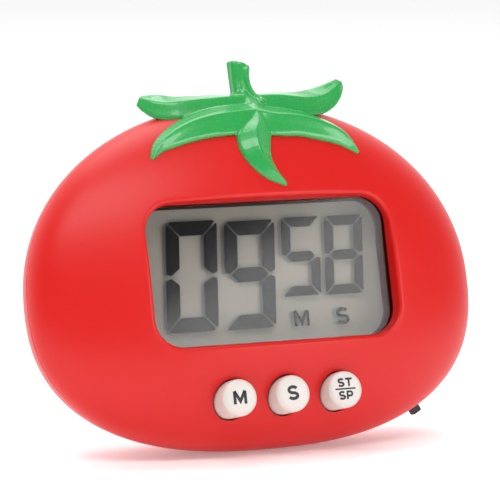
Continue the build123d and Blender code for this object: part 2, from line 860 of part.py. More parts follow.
# Each leaf runs from the hub to its tip: across, up and depth of points near the skin, then how far the leaf
# lifts off there, and half its width and height.
leaves = {
    "front": [
        (2.0, 35.5, 3.0, 0.0, 2.6, 1.6),
        (2.2, 33.0, 6.4, 0.1, 3.2, 1.9),
        (2.5, 28.5, 9.2, 0.1, 3.5, 1.9),
        (3.2, 23.0, 11.2, 0.0, 2.2, 1.5),
        (3.9, 18.9, 12.2, 0.0, 0.35, 0.45),
    ],
    "front_left": [
        (1.5, 36.0, 3.0, 0.0, 2.6, 1.6),
        (-5.5, 35.0, 5.0, 0.2, 2.8, 1.9),
        (-13.0, 32.0, 6.4, 0.2, 2.7, 1.9),
        (-18.5, 28.6, 7.4, 0.1, 1.9, 1.4),
        (-21.7, 25.6, 8.0, 0.0, 0.35, 0.45),
    ],
    "front_right": [
        (2.5, 36.0, 3.0, 0.0, 2.6, 1.6),
        (8.5, 35.0, 4.8, 0.2, 2.8, 1.9),
        (14.5, 32.0, 6.6, 0.2, 2.6, 1.8),
        (19.0, 28.2, 7.8, 0.1, 1.7, 1.3),
        (21.6, 25.0, 8.3, 0.0, 0.35, 0.45),
    ],
    "rear_left": [
        (1.0, 36.5, 1.5, 0.0, 2.6, 1.6),
        (-6.0, 36.0, -0.8, 0.5, 3.0, 1.8),
        (-12.0, 35.0, -2.2, 1.4, 3.2, 1.7),
        (-16.0, 34.0, -3.2, 3.4, 2.6, 1.3),
        (-18.4, 33.5, -4.2, 6.2, 0.8, 0.6),
    ],
    "rear_right": [
        (2.5, 36.5, 1.5, 0.0, 2.6, 1.6),
        (9.0, 36.0, -0.6, 0.6, 2.8, 1.8),
        (15.5, 34.0, -1.8, 1.6, 3.0, 1.7),
        (20.5, 32.0, -2.8, 4.0, 2.6, 1.4),
        (23.6, 31.0, -3.4, 9.2, 0.7, 0.6),
    ],
}
stem_rings = [
    (1.9, 35.0, 1.9, 3.6, 3.2),
    (1.8, 38.2, 1.6, 2.5, 2.1),
    (1.7, 41.0, 1.4, 2.0, 1.8),
    (1.6, 43.9, 1.2, 2.35, 1.9),
]


with BuildPart() as calyx:
    for stations in leaves.values():
        spine = [on_skin(*station[:4]) for station in stations]
        for index, station in enumerate(stations):
            before = spine[max(index - 1, 0)]
            after = spine[min(index + 1, len(spine) - 1)]
            along = (after - before).normalized()
            out = skin_normal(*station[:3])
            side = out.cross(along).normalized()
            section = Plane(
                origin=place(*spine[index]),
                x_dir=place(*side) - place(0, 0, 0),
                z_dir=place(*along) - place(0, 0, 0),
            )
            with BuildSketch(section):
                Ellipse(station[4], station[5])
        loft()
    for across, up, depth, wide, deep in stem_rings:
        with BuildSketch(Plane(place(across, up, depth), x_dir=(1, 0, 0), z_dir=face.y_dir)):
            Ellipse(wide, deep)
    loft()
    fillet(edges().group_by(Axis(face.origin, face.y_dir))[-1], 0.8)
    add(front_form.part, mode=Mode.SUBTRACT)
    add(rear_form.part, mode=Mode.SUBTRACT)
    with Locations(Location(peg_plane)):
        Cylinder(peg_radius, peg_length, align=(Align.CENTER, Align.CENTER, Align.MAX))
calyx.part.label = "calyx"
export_step(calyx.part, "parts/calyx.step")
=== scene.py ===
"""Looks of a tomato-shaped digital kitchen timer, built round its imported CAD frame.

Pieces are modelled in millimetres on the timer's face plane, whose axes are x across the face, y up it and z
out of it towards the person who reads the display, with the origin at the middle of the parting line between
the two shells. seat() then carries each one into the frame, in metres.
"""

from __future__ import annotations

import json
import logging
import math
from dataclasses import dataclass, field
from enum import Enum
from typing import Sequence

import bpy
import numpy as np
from mathutils import Matrix, Vector
from mathutils.geometry import delaunay_2d_cdt

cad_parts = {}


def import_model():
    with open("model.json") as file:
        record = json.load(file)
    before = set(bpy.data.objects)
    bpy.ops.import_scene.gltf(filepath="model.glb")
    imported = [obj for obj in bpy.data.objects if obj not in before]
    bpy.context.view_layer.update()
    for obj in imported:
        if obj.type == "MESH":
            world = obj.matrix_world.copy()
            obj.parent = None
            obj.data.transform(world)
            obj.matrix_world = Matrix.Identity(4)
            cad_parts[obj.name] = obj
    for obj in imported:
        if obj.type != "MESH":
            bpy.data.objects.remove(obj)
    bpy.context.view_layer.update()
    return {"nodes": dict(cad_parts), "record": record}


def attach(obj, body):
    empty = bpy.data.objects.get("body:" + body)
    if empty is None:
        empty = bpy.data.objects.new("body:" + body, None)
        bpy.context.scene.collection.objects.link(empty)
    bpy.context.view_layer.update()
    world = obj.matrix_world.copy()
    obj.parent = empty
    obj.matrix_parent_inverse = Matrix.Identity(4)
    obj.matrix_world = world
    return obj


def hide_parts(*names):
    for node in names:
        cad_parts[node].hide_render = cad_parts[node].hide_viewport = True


log = logging.getLogger("kitchen_timer")

MM = 0.001
LEAN = math.radians(14.5)
FACE = Matrix(
    (
        (1, 0, 0, 0),
        (0, math.sin(LEAN), -math.cos(LEAN), -0.0024),
        (0, math.cos(LEAN), math.sin(LEAN), 0.0298948),
        (0, 0, 0, 1),
    )
)


# ---------------------------------------------------------------------------- shared tools


def linear(code: str) -> tuple[float, float, float, float]:
    """Turn an sRGB hex colour into the linear values that shaders take.

    Args:
        code: Six hex digits, with or without a leading #.

    Returns:
        Linear red, green and blue, and an alpha of 1.
    """
    digits = code.lstrip("#")
    parts = [int(digits[i : i + 2], 16) / 255 for i in (0, 2, 4)]
    values = [c / 12.92 if c <= 0.04045 else ((c + 0.055) / 1.055) ** 2.4 for c in parts]
    return (*values, 1.0)


def tinted(code: str, factor: float) -> tuple[float, float, float, float]:
    """A hex colour in linear values, made lighter or darker by a factor."""
    red, green, blue, alpha = linear(code)
    return (min(red * factor, 1.0), min(green * factor, 1.0), min(blue * factor, 1.0), alpha)


def add_node(
    tree: bpy.types.NodeTree, kind: str, settings: dict | None = None, **inputs: object
) -> bpy.types.Node:
    """Add a shader node, set its properties, and fill or link its inputs.

    Args:
        tree: The node tree to add to.
        kind: The node's type name.
        settings: Properties of the node itself.
        **inputs: Socket names, with underscores for spaces, and a value or an output socket to link. A name
            such as input_1 picks a socket by its number.

    Returns:
        The new node.
    """
    node = tree.nodes.new(kind)
    for name, value in (settings or {}).items():
        setattr(node, name, value)
    for name, value in inputs.items():
        socket = node.inputs[int(name[6:]) if name.startswith("input_") else name.replace("_", " ")]
        if isinstance(value, bpy.types.NodeSocket):
            tree.links.new(value, socket)
        else:
            socket.default_value = value
    return node


def deselect() -> None:
    """Leave edit mode and deselect everything."""
    if bpy.context.object and bpy.context.object.mode != "OBJECT":
        bpy.ops.object.mode_set(mode="OBJECT")
    bpy.ops.object.select_all(action="DESELECT")


def activate(piece: bpy.types.Object) -> None:
    """Make one object the only selected one, and the active one."""
    deselect()
    piece.select_set(True)
    bpy.context.view_layer.objects.active = piece


def modify(piece: bpy.types.Object, kind: str, **settings: object) -> None:
    """Add a modifier with its settings, and apply it.

    Args:
        piece: The object to change.
        kind: The modifier's type.
        **settings: The modifier's properties.
    """
    activate(piece)
    modifier = piece.modifiers.new(kind.title(), kind)
    for name, value in settings.items():
        setattr(modifier, name, value)
    bpy.ops.object.modifier_apply(modifier=modifier.name)


def mend(piece: bpy.types.Object, distance: float = 0.0005) -> None:
    """Merge doubled points and turn all faces outwards.

    Args:
        piece: The object to mend.
        distance: How near two points are to be one.
    """
    activate(piece)
    bpy.ops.object.mode_set(mode="EDIT")
    bpy.ops.mesh.select_all(action="SELECT")
    bpy.ops.mesh.remove_doubles(threshold=distance)
    bpy.ops.mesh.normals_make_consistent(inside=False)
    bpy.ops.object.mode_set(mode="OBJECT")


def from_points(name: str, points: Sequence, faces: Sequence) -> bpy.types.Object:
    """Make a mesh object from points and faces, and link it to the scene.

    Args:
        name: The piece's name.
        points: Places in millimetres on the face plane.
        faces: Lists of point numbers.

    Returns:
        The new object.
    """
    mesh = bpy.data.meshes.new(name)
    mesh.from_pydata([tuple(map(float, p)) for p in points], [], [tuple(map(int, f)) for f in faces])
    mesh.validate()
    piece = bpy.data.objects.new(name, mesh)
    bpy.context.scene.collection.objects.link(piece)
    return piece


def ring_faces(low: int, high: int, size: int) -> list[tuple[int, int, int, int]]:
    """Four-sided faces between two closed rings of points, given the number of each ring's first point."""
    return [(low + i, low + (i + 1) % size, high + (i + 1) % size, high + i) for i in range(size)]


def loft(name: str, rings: Sequence[Sequence]) -> bpy.types.Object:
    """Skin a closed shape over rings of points, with a face at each end.

    Args:
        name: The piece's name.
        rings: Rings with the same number of points each, in millimetres on the face plane.

    Returns:
        The closed shape.
    """
    size = len(rings[0])
    points = [point for ring in rings for point in ring]
    faces: list[tuple[int, ...]] = []
    for number in range(1, len(rings)):
        faces += ring_faces((number - 1) * size, number * size, size)
    faces += [tuple(range(size)), tuple(range(len(points) - size, len(points)))]
    piece = from_points(name, points, faces)
    mend(piece)
    return piece


def join(name: str, pieces: Sequence[bpy.types.Object]) -> bpy.types.Object:
    """Join several objects into one.

    Args:
        name: The name the joined piece gets.
        pieces: The objects to join, each at its place.

    Returns:
        The joined object.
    """
    deselect()
    for piece in pieces:
        piece.select_set(True)
    bpy.context.view_layer.objects.active = pieces[0]
    if len(pieces) > 1:
        bpy.ops.object.join()
    joined = bpy.context.view_layer.objects.active
    joined.name = name
    joined.data.name = name
    return joined


def smooth(piece: bpy.types.Object, angle: float = 38.0) -> None:
    """Shade a piece smooth, with edges sharper than the angle in degrees kept hard."""
    activate(piece)
    bpy.ops.object.shade_smooth_by_angle(angle=math.radians(angle))


def seat(
    piece: bpy.types.Object, body: str, slot: str, material: bpy.types.Material, *nodes: str
) -> bpy.types.Object:
    """Carry a finished piece from the face plane into the frame, dress it and let it ride.

    Args:
        piece: The piece, in millimetres on the face plane.
        body: The body it rides on.
        slot: The record's material slot that it takes its finish from.
        material: Its material.
        *nodes: The CAD nodes that it stands for.

    Returns:
        The same object, at the origin, with its place in its mesh.
    """
    bpy.context.view_layer.update()
    piece.data.transform(FACE @ Matrix.Scale(MM, 4) @ piece.matrix_world)
    piece.matrix_world = Matrix()
    piece.data.materials.clear()
    piece.data.materials.append(material)
    for face in piece.data.polygons:
        face.material_index = 0
    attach(piece, body)
    if nodes:
        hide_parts(*nodes)
    log.info("%s: %d faces on %s", piece.name, len(piece.data.polygons), body)
    return piece


def turned(
    name: str, profile: Sequence[tuple[float, float]], middle: tuple[float, float], steps: int
) -> bpy.types.Object:
    """Spin a profile round an axis that stands on the face plane.

    Args:
        name: The piece's name.
        profile: Radius and height of each point, from the axis back to the axis.
        middle: Where the axis stands, across and up the face.
        steps: Number of facets round the piece.

    Returns:
        A closed turned shape.
    """
    points = [(middle[0] + radius, middle[1], height) for radius, height in profile]
    mesh = bpy.data.meshes.new(name)
    mesh.from_pydata(points, [(i, i + 1) for i in range(len(points) - 1)], [])
    piece = bpy.data.objects.new(name, mesh)
    bpy.context.scene.collection.objects.link(piece)
    activate(piece)
    bpy.ops.object.mode_set(mode="EDIT")
    bpy.ops.mesh.select_all(action="SELECT")
    bpy.ops.mesh.spin(steps=steps, angle=2 * math.pi, center=(*middle, 0), axis=(0, 0, 1))
    bpy.ops.object.mode_set(mode="OBJECT")
    mend(piece, 0.002)
    return piece


def arc(
    middle: tuple[float, float], radii: tuple[float, float], start: float, end: float, steps: int = 14
) -> list[tuple[float, float]]:
    """Points along an ellipse, from one angle in degrees to another."""
    angles = [math.radians(start + (end - start) * i / steps) for i in range(steps + 1)]
    return [(middle[0] + radii[0] * math.cos(t), middle[1] + radii[1] * math.sin(t)) for t in angles]


# Letters as strokes through the middle of their lines, in a square of side 1, each with its width.
LETTERS = {
    "M": (1.0, [[(0.1, 0.0), (0.1, 0.9)], [(0.1, 0.92), (0.5, 0.2), (0.9, 0.92)], [(0.9, 0.9), (0.9, 0.0)]]),
    "S": (0.86, [arc((0.43, 0.7), (0.31, 0.21), 25, 270) + arc((0.43, 0.29), (0.33, 0.2), 90, -155)[1:]]),
    "T": (0.86, [[(0.0, 0.9), (0.86, 0.9)], [(0.43, 0.9), (0.43, 0.0)]]),
    "P": (
        0.84,
        [
            [(0.1, 0.0), (0.1, 0.9), (0.48, 0.9)]
            + arc((0.48, 0.66), (0.25, 0.24), 90, -90)[1:]
            + [(0.1, 0.42)]
        ],
    ),
}


def stroke(line: Sequence[tuple[float, float]], width: float, depth: float, thick: float) -> bpy.types.Object:
    """A thin slab of even width along a line on the face plane, with mitred corners.

    Args:
        line: The points it runs through.
        width: Its width.
        depth: Depth of its middle.
        thick: Its thickness.

    Returns:
        The slab, closed.
    """
    path = [Vector((*p, 0)) for p in line]
    sides = []
    for index, point in enumerate(path):
        before = (point - path[index - 1]).normalized() if index else None
        after = (path[index + 1] - point).normalized() if index < len(path) - 1 else None
        along = ((before or after) + (after or before)).normalized()
        lean = max((before or after).dot(along), 0.45)
        sides.append(Vector((-along.y, along.x, 0)) * width / 2 / lean)
    count = len(path)
    points = []
    for z in (-1, 1):
        for sign in (1, -1):
            points += [p + s * sign + Vector((0, 0, depth + z * thick / 2)) for p, s in zip(path, sides)]
    faces = []
    for i in range(count - 1):
        for low, high in ((0, count), (3 * count, 2 * count), (count, 3 * count), (2 * count, 0)):
            faces.append((low + i, low + i + 1, high + i + 1, high + i))
    faces += [(0, count, 3 * count, 2 * count), (count - 1, 2 * count - 1, 4 * count - 1, 3 * count - 1)]
    return from_points("stroke", points, faces)


def lettering(
    words: str, height: float, width: float, foot: tuple[float, float], depth: float, thick: float
) -> list[bpy.types.Object]:
    """Letters drawn as even strokes, centred over a point.

    Args:
        words: Capital letters.
        height: Their height.
        width: Width of the strokes.
        foot: The point on the face plane below their middle.
        depth: Depth of their middle.
        thick: Their thickness.

    Returns:
        One object for each stroke.
    """
    gap = 0.16
    total = sum(LETTERS[letter][0] for letter in words) + gap * (len(words) - 1)
    left, pieces = -total / 2, []
    for letter in words:
        wide, lines = LETTERS[letter]
        for line in lines:
            places = [(foot[0] + (left + x) * height, foot[1] + y * height) for x, y in line]
            pieces.append(stroke(places, width, depth, thick))
        left += wide + gap
    return pieces


# ---------------------------------------------------------------------------- finishes


@dataclass(frozen=True)
class Finish:
    """A moulded, rolled or printed surface, told by its colour, gloss and grain.

    Attributes:
        name: What the surface is.
        colour: Its sRGB hex colour.
        roughness: How dull it is, from 0 to 1.
        metallic: 1 for bare metal.
        ior: Index of refraction, left alone for metal.
        grain: Size of the fine grain, in millimetres.
        relief: Height of that grain, in millimetres.
        mottle: How far the colour drifts, as a share of it.
        drift: Size of the colour's patches, in millimetres.
        stretch: How much longer than wide the grain is, for rolled and brushed metal.
        coat: Strength of a clear glossy layer.
        specular: How strongly it mirrors, 0.5 for a clean surface.
    """

    name: str
    colour: str
    roughness: float
    metallic: float = 0.0
    ior: float = 1.5
    grain: float = 0.3
    relief: float = 0.004
    mottle: float = 0.03
    drift: float = 9.0
    stretch: float = 1.0
    coat: float = 0.0
    specular: float = 0.5

    def make(self) -> bpy.types.Material:
        """Build the material.

        Returns:
            The material, patterned on object coordinates.
        """
        material = bpy.data.materials.new(self.name)
        material.use_nodes = True
        tree = material.node_tree
        shader = tree.nodes["Principled BSDF"]
        place = add_node(tree, "ShaderNodeTexCoord").outputs["Object"]
        stretched = add_node(
            tree, "ShaderNodeMapping", Vector=place, Scale=(1.0, 1.0, self.stretch)
        ).outputs["Vector"]
        grain = add_node(
            tree,
            "ShaderNodeTexNoise",
            Vector=stretched,
            Scale=1 / (self.grain * MM),
            Detail=2.0,
            Roughness=0.6,
        )
        patches = add_node(
            tree, "ShaderNodeTexNoise", Vector=place, Scale=1 / (self.drift * MM), Detail=3.0, Roughness=0.55
        )
        colour = add_node(
            tree,
            "ShaderNodeMix",
            {"data_type": "RGBA"},
            Factor=patches.outputs["Fac"],
            input_6=tinted(self.colour, 1 - self.mottle),
            input_7=tinted(self.colour, 1 + self.mottle),
        )
        tree.links.new(colour.outputs[2], shader.inputs["Base Color"])
        dull = add_node(
            tree,
            "ShaderNodeMapRange",
            Value=grain.outputs["Fac"],
            From_Min=0.3,
            From_Max=0.7,
            To_Min=self.roughness * 0.9,
            To_Max=self.roughness * 1.1,
        )
        tree.links.new(dull.outputs["Result"], shader.inputs["Roughness"])
        bump = add_node(
            tree, "ShaderNodeBump", Height=grain.outputs["Fac"], Strength=1.0, Distance=self.relief * MM
        )
        tree.links.new(bump.outputs["Normal"], shader.inputs["Normal"])
        shader.inputs["Metallic"].default_value = self.metallic
        if not self.metallic:
            shader.inputs["IOR"].default_value = self.ior
        shader.inputs["Coat Weight"].default_value = self.coat
        shader.inputs["Specular IOR Level"].default_value = self.specular
        return material


@dataclass(frozen=True)
class ClearFinish:
    """A clear sheet that lets light through unbent and mirrors some of it at its face.

    Attributes:
        name: What the sheet is.
        colour: The sRGB hex tint of light that has passed through it.
        roughness: How much the mirrored light spreads.
        ior: Index of refraction.
        wave: Height in millimetres of the slow waves in the sheet.
        edge_gloss: How much more it mirrors when seen edge on.
    """

    name: str
    colour: str
    roughness: float
    ior: float = 1.49
    wave: float = 0.002
    edge_gloss: float = 0.1

    def make(self) -> bpy.types.Material:
        """Build the material.

        Returns:
            A see-through material with a mirrored layer.
        """
        material = bpy.data.materials.new(self.name)
        material.use_nodes = True
        tree = material.node_tree
        tree.nodes.remove(tree.nodes["Principled BSDF"])
        place = add_node(tree, "ShaderNodeTexCoord").outputs["Object"]
        wave = add_node(tree, "ShaderNodeTexNoise", Vector=place, Scale=1 / (12 * MM), Detail=1.0)
        bump = add_node(
            tree, "ShaderNodeBump", Height=wave.outputs["Fac"], Strength=1.0, Distance=self.wave * MM
        )
        through = add_node(tree, "ShaderNodeBsdfTransparent", Color=linear(self.colour))
        mirror = add_node(
            tree,
            "ShaderNodeBsdfGlossy",
            Color=linear("FFFFFF"),
            Roughness=self.roughness,
            Normal=bump.outputs["Normal"],
        )
        slope = add_node(tree, "ShaderNodeLayerWeight", Blend=0.1)
        head_on = ((self.ior - 1) / (self.ior + 1)) ** 2
        share = add_node(
            tree,
            "ShaderNodeMapRange",
            Value=slope.outputs["Facing"],
            To_Min=head_on,
            To_Max=head_on + self.edge_gloss,
        )
        mixed = add_node(
            tree,
            "ShaderNodeMixShader",
            input_0=share.outputs[0],
            input_1=through.outputs[0],
            input_2=mirror.outputs[0],
        )
        tree.links.new(mixed.outputs[0], tree.nodes["Material Output"].inputs["Surface"])
        return material


class Slot(Enum):
    """The record's material slots, each with the finish it has here."""

    # ABS, injection moulded in a lightly textured tool: satin, with broad soft highlights.
    RED_PLASTIC = Finish(
        "satin_red_abs", "CF1410", 0.38, grain=0.22, relief=0.0025, mottle=0.02, specular=0.38
    )
    # ABS from a polished tool: glossy, with small bright highlights.
    GREEN_PLASTIC = Finish(
        "glossy_green_abs", "28A04B", 0.28, grain=0.5, relief=0.003, mottle=0.04, drift=5.0, coat=0.35
    )
    # Acrylic from a polished tool: clear, and it mirrors the lamp in front softly.
    CLEAR_PLASTIC = ClearFinish("clear_moulded_acrylic", "F6F6F4", 0.09, ior=1.24)
    # Black ABS: matt, so that it takes the red of the wall beside it.
    BLACK_PLASTIC = Finish("matt_black_abs", "1C1A1B", 0.5, grain=0.25)
    # Soda-lime glass with its polarising film: a faint grey cast.
    DISPLAY_GLASS = ClearFinish("polarised_display_glass", "F0F0EE", 0.3, ior=1.04, wave=0.0, edge_gloss=0.05)
    # Pearled silver film behind the display: grey, with a fine sparkle too small to see singly.
    REFLECTOR_FILM = Finish(
        "pearled_reflector_film", "BDB8B5", 0.6, grain=0.12, relief=0.002, mottle=0.02, drift=14.0
    )
    # Silicone rubber, moulded: dull and a little dusty.
    SILICONE = Finish("grey_silicone_rubber", "8A8A88", 0.7, ior=1.42)
    # Glass-epoxy laminate under green solder mask: weave faintly visible, half gloss.
    BOARD_LAMINATE = Finish(
        "green_solder_mask", "0B5A26", 0.35, grain=0.6, relief=0.01, mottle=0.18, drift=1.2
    )
    # Epoxy dripped over the chip: black and wet looking.
    EPOXY = Finish("black_potting_epoxy", "0C0C0D", 0.15, grain=2.0, relief=0.02, ior=1.55)
    # Steel plated with nickel: warm grey, with fine drawing lines.
    NICKEL_STEEL = Finish(
        "nickel_plated_steel", "D0CCC4", 0.28, metallic=1.0, grain=0.2, stretch=0.1, relief=0.002
    )
    # Ceramic and moulded component cases: matt brown black.
    COMPONENT_BODY = Finish("component_case", "3A2E26", 0.6, grain=0.2)
    # ABS, moulded matt, in the warm white of small buttons.
    WHITE_PLASTIC = Finish("warm_white_abs", "DAD3CC", 0.38, grain=0.2, relief=0.002, mottle=0.015)
    # Rolled brass: yellow, with rolling lines along it.
    BRASS = Finish("rolled_brass_sheet", "D9B36A", 0.3, metallic=1.0, grain=0.25, stretch=0.08, relief=0.002)
    # Silvered piezo ceramic: pale and chalky.
    CERAMIC = Finish("silvered_piezo_ceramic", "DCDAD2", 0.45, grain=0.2)
    # Soft PVC wire cover: red, half gloss.
    WIRE_COVER = Finish("soft_pvc_wire_cover", "B01A1A", 0.4, grain=0.4)
    # The cell's printed steel can, with a plain band.
    CELL_CAN = Finish("printed_cell_can", "3C3F44", 0.3, metallic=0.6, grain=0.2, stretch=0.1)


EXTRA = {
    # Painted shade and painted red bounce: black ABS coloured deep maroon, the look of a shaded wall lit by the
    # red wall beside it; half gloss.
    "frame": Finish("painted_shade_maroon_abs", "4A0F0D", 0.75, grain=0.25, specular=0.08),
    # Painted shadow: a cool grey copy of the bars on the film behind them, standing in for the shadows the bars
    # cast there.
    "image": Finish("painted_shadow_grey_film", "A0A4AC", 0.7, grain=0.3, relief=0.0, mottle=0.02, specular=0.05),
    # Pad-printed ink: flat dark grey on the buttons.
    "ink": Finish("dark_pad_print_ink", "2C2E33", 0.6, grain=0.1, relief=0.001),
    # Liquid crystal turned dark by its polarisers: near black with a blue cast.
    "segment": Finish(
        "dark_liquid_crystal", "06060C", 0.5, grain=0.4, relief=0.0, mottle=0.05, specular=0.05
    ),
}


class Finishes:
    """Makes each material once and hands it out by name."""

    def __init__(self) -> None:
        """Start with no material made."""
        self.made: dict[str, bpy.types.Material] = {}

    def get(self, name: str) -> bpy.types.Material:
        """The material of a slot, or of one of the extra finishes.

        Args:
            name: The slot's name in the record, or a key of EXTRA.

        Returns:
            The material, made on first use.
        """
        if name not in self.made:
            finish = EXTRA[name] if name in EXTRA else Slot[name.upper()].value
            self.made[name] = finish.make()
        return self.made[name]


# ---------------------------------------------------------------------------- the tomato's skin


@dataclass(frozen=True)
class Skin:
    """The outer surface: a superellipse outline on the face plane, domed on both sides, in millimetres."""

    half_width: float = 46.3
    upper_height: float = 36.9
    lower_height: float = 30.3
    upper_roundness: float = 2.09
    lower_roundness: float = 2.44
    front_bulge: float = 14.2
    rear_bulge: float = 23.0

    def reach(self, x: np.ndarray, up: np.ndarray) -> np.ndarray:
        """How far out a place on the face plane is, from 0 at the middle to 1 on the outline."""
        power = np.where(up >= 0, self.upper_roundness, self.lower_roundness)
        tall = np.where(up >= 0, self.upper_height, self.lower_height)
        return (np.abs(x / self.half_width) ** power + np.abs(up / tall) ** power) ** (1 / power)

    def front(self, x: np.ndarray, up: np.ndarray) -> np.ndarray:
        """Depth of the front surface over a place on the face plane."""
        return self.front_bulge * np.sqrt(np.maximum(1 - self.reach(x, up) ** 2, 0))

    def scale(self, point: np.ndarray) -> float:
        """1 on the surface, less inside it."""
        bulge = self.front_bulge if point[2] >= 0 else self.rear_bulge
        return float(np.sqrt(self.reach(point[0], point[1]) ** 2 + (point[2] / bulge) ** 2))

    def normal(self, point: np.ndarray) -> np.ndarray:
        """The surface's outward normal near a point."""
        step = 0.01
        pairs = [(point + step * axis, point - step * axis) for axis in np.eye(3)]
        slope = np.array([self.scale(ahead) - self.scale(behind) for ahead, behind in pairs])
        return slope / np.linalg.norm(slope)

    def lifted(self, x: float, up: float, depth: float, lift: float = 0.0) -> np.ndarray:
        """The surface point on the ray from the middle through a place, lifted off along the normal."""
        point = np.array([x, up, depth], float)
        point = point / self.scale(point)
        return point + self.normal(point) * lift


@dataclass
class FrontShell:
    """The front half of the body, with its window, its three button holes and rolled lips, in millimetres."""

    skin: Skin = field(default_factory=Skin)
    window_width: float = 50.4
    window_height: float = 26.9
    window_middle: float = 3.0
    window_corner: float = 5.4
    window_draft: float = 7.0
    window_floor: float = 9.0
    window_lip: float = 0.9
    hole_radius: float = 3.75
    hole_lip: float = 0.45
    hole_floor: float = 5.6
    button_pitch: float = 10.95
    button_row: float = -20.9
    spacing: float = 0.85
    thickness: float = 0.5
    rim_depths: tuple[float, float] = (0.35, 0.2)
    rim_inset: float = 0.16 / 40
    lattice_reach: float = 0.978
    lattice_margin: float = 0.6
    corner_steps: int = 14

    def window_line(self) -> tuple[np.ndarray, np.ndarray]:
        """Points round the window at its floor, and the directions that lead away from it."""
        points, outs = [], []
        half = (self.window_width / 2 - self.window_corner, self.window_height / 2 - self.window_corner)
        corners = [(1, 1, 0), (-1, 1, 90), (-1, -1, 180), (1, -1, 270)]
        for index, (side, end, start) in enumerate(corners):
            centre = np.array([side * half[0], self.window_middle + end * half[1]])
            for step in range(self.corner_steps + 1):
                angle = math.radians(start + 90 * step / self.corner_steps)
                out = np.array([math.cos(angle), math.sin(angle)])
                points.append(centre + self.window_corner * out)
                outs.append(out)
            following = corners[(index + 1) % 4]
            goal = np.array([following[0] * half[0], self.window_middle + following[1] * half[1]])
            goal = goal + self.window_corner * out
            count = int(np.linalg.norm(goal - points[-1]) / 0.65)
            here = points[-1]
            for step in range(1, count):
                points.append(here + (goal - here) * step / count)
                outs.append(out)
        return np.array(points), np.array(outs)

    def hole_line(self, middle: float) -> tuple[np.ndarray, np.ndarray]:
        """Points round a button hole, and the directions that lead away from it."""
        angles = np.linspace(0, 2 * math.pi, 56, endpoint=False)
        outs = np.stack([np.cos(angles), np.sin(angles)], 1)
        return np.array([middle, self.button_row]) + self.hole_radius * outs, outs

    def lip_rings(
        self, line: np.ndarray, outs: np.ndarray, lip: float, draft: float, floor: float
    ) -> list[np.ndarray]:
        """Rings from the skin, over a rolled lip and down the wall of an opening.

        Args:
            line: The opening's outline at its floor.
            outs: The direction away from the opening at each of those points.
            lip: Size of the rolled edge.
            draft: The wall's slope, in degrees.
            floor: Depth that the wall ends at.

        Returns:
            Rings of points, the first one on the skin.
        """
        slope = math.tan(math.radians(draft))
        border = np.zeros(len(line))
        for _ in range(8):
            place = line + outs * border[:, None]
            border = slope * (self.skin.front(place[:, 0], place[:, 1]) - floor)
        first = line + outs * (border + lip)[:, None]
        corner = line + outs * border[:, None]
        top = self.skin.front(corner[:, 0], corner[:, 1])
        second = line + outs * (slope * (top - lip - floor))[:, None]
        start = np.column_stack([first, self.skin.front(first[:, 0], first[:, 1])])
        bend = np.column_stack([corner, top])
        end = np.column_stack([second, top - lip])
        rings = []
        for t in np.linspace(0, 1, 8):
            rings.append((1 - t) ** 2 * start + 2 * t * (1 - t) * bend + t**2 * end)
        base = np.column_stack([line, np.full(len(line), floor)])
        for t in np.linspace(0, 1, 5)[1:]:
            rings.append(end + (base - end) * t)
        return rings

    def unrolled(self, places: np.ndarray) -> np.ndarray:
        """Flatten places on the face plane, so that even spacing there is even spacing on the skin."""
        reach = np.maximum(self.skin.reach(places[:, 0], places[:, 1]), 1e-6)
        return places * (np.arcsin(np.minimum(reach, 1)) / (math.pi / 2) / reach)[:, None]

    def rolled(self, flat: np.ndarray) -> np.ndarray:
        """Put flattened places back on the face plane."""
        reach = np.maximum(self.skin.reach(flat[:, 0], flat[:, 1]), 1e-6)
        return flat * (np.sin(reach * math.pi / 2) / reach)[:, None]

    def in_opening(self, places: np.ndarray, margin: float) -> np.ndarray:
        """True for places inside, or within a margin of, the window or a button hole."""
        depth = self.skin.front(places[:, 0], places[:, 1])
        slope = math.tan(math.radians(self.window_draft))
        grow = slope * (depth - self.window_floor) + self.window_lip + margin
        corner = self.window_corner + grow
        across = np.abs(places[:, 0]) - (self.window_width / 2 + grow - corner)
        up = np.abs(places[:, 1] - self.window_middle) - (self.window_height / 2 + grow - corner)
        outside = np.hypot(np.maximum(across, 0), np.maximum(up, 0)) + np.minimum(np.maximum(across, up), 0)
        inside = outside < corner
        for middle in (-self.button_pitch, 0, self.button_pitch):
            away = np.hypot(places[:, 0] - middle, places[:, 1] - self.button_row)
            inside |= away < self.hole_radius + self.hole_lip + margin
        return inside

    def rim_line(self, count: int = 300) -> np.ndarray:
        """Points evenly round the outline."""
        angles = np.linspace(0, 2 * math.pi, 6000, endpoint=False)
        away = np.stack([np.cos(angles), np.sin(angles)], 1)
        away = away / self.skin.reach(away[:, 0], away[:, 1])[:, None]
        steps = np.cumsum(np.linalg.norm(np.diff(away, axis=0, append=away[:1]), axis=1))
        picks = np.searchsorted(steps, np.linspace(0, steps[-1], count, endpoint=False))
        return away[picks]

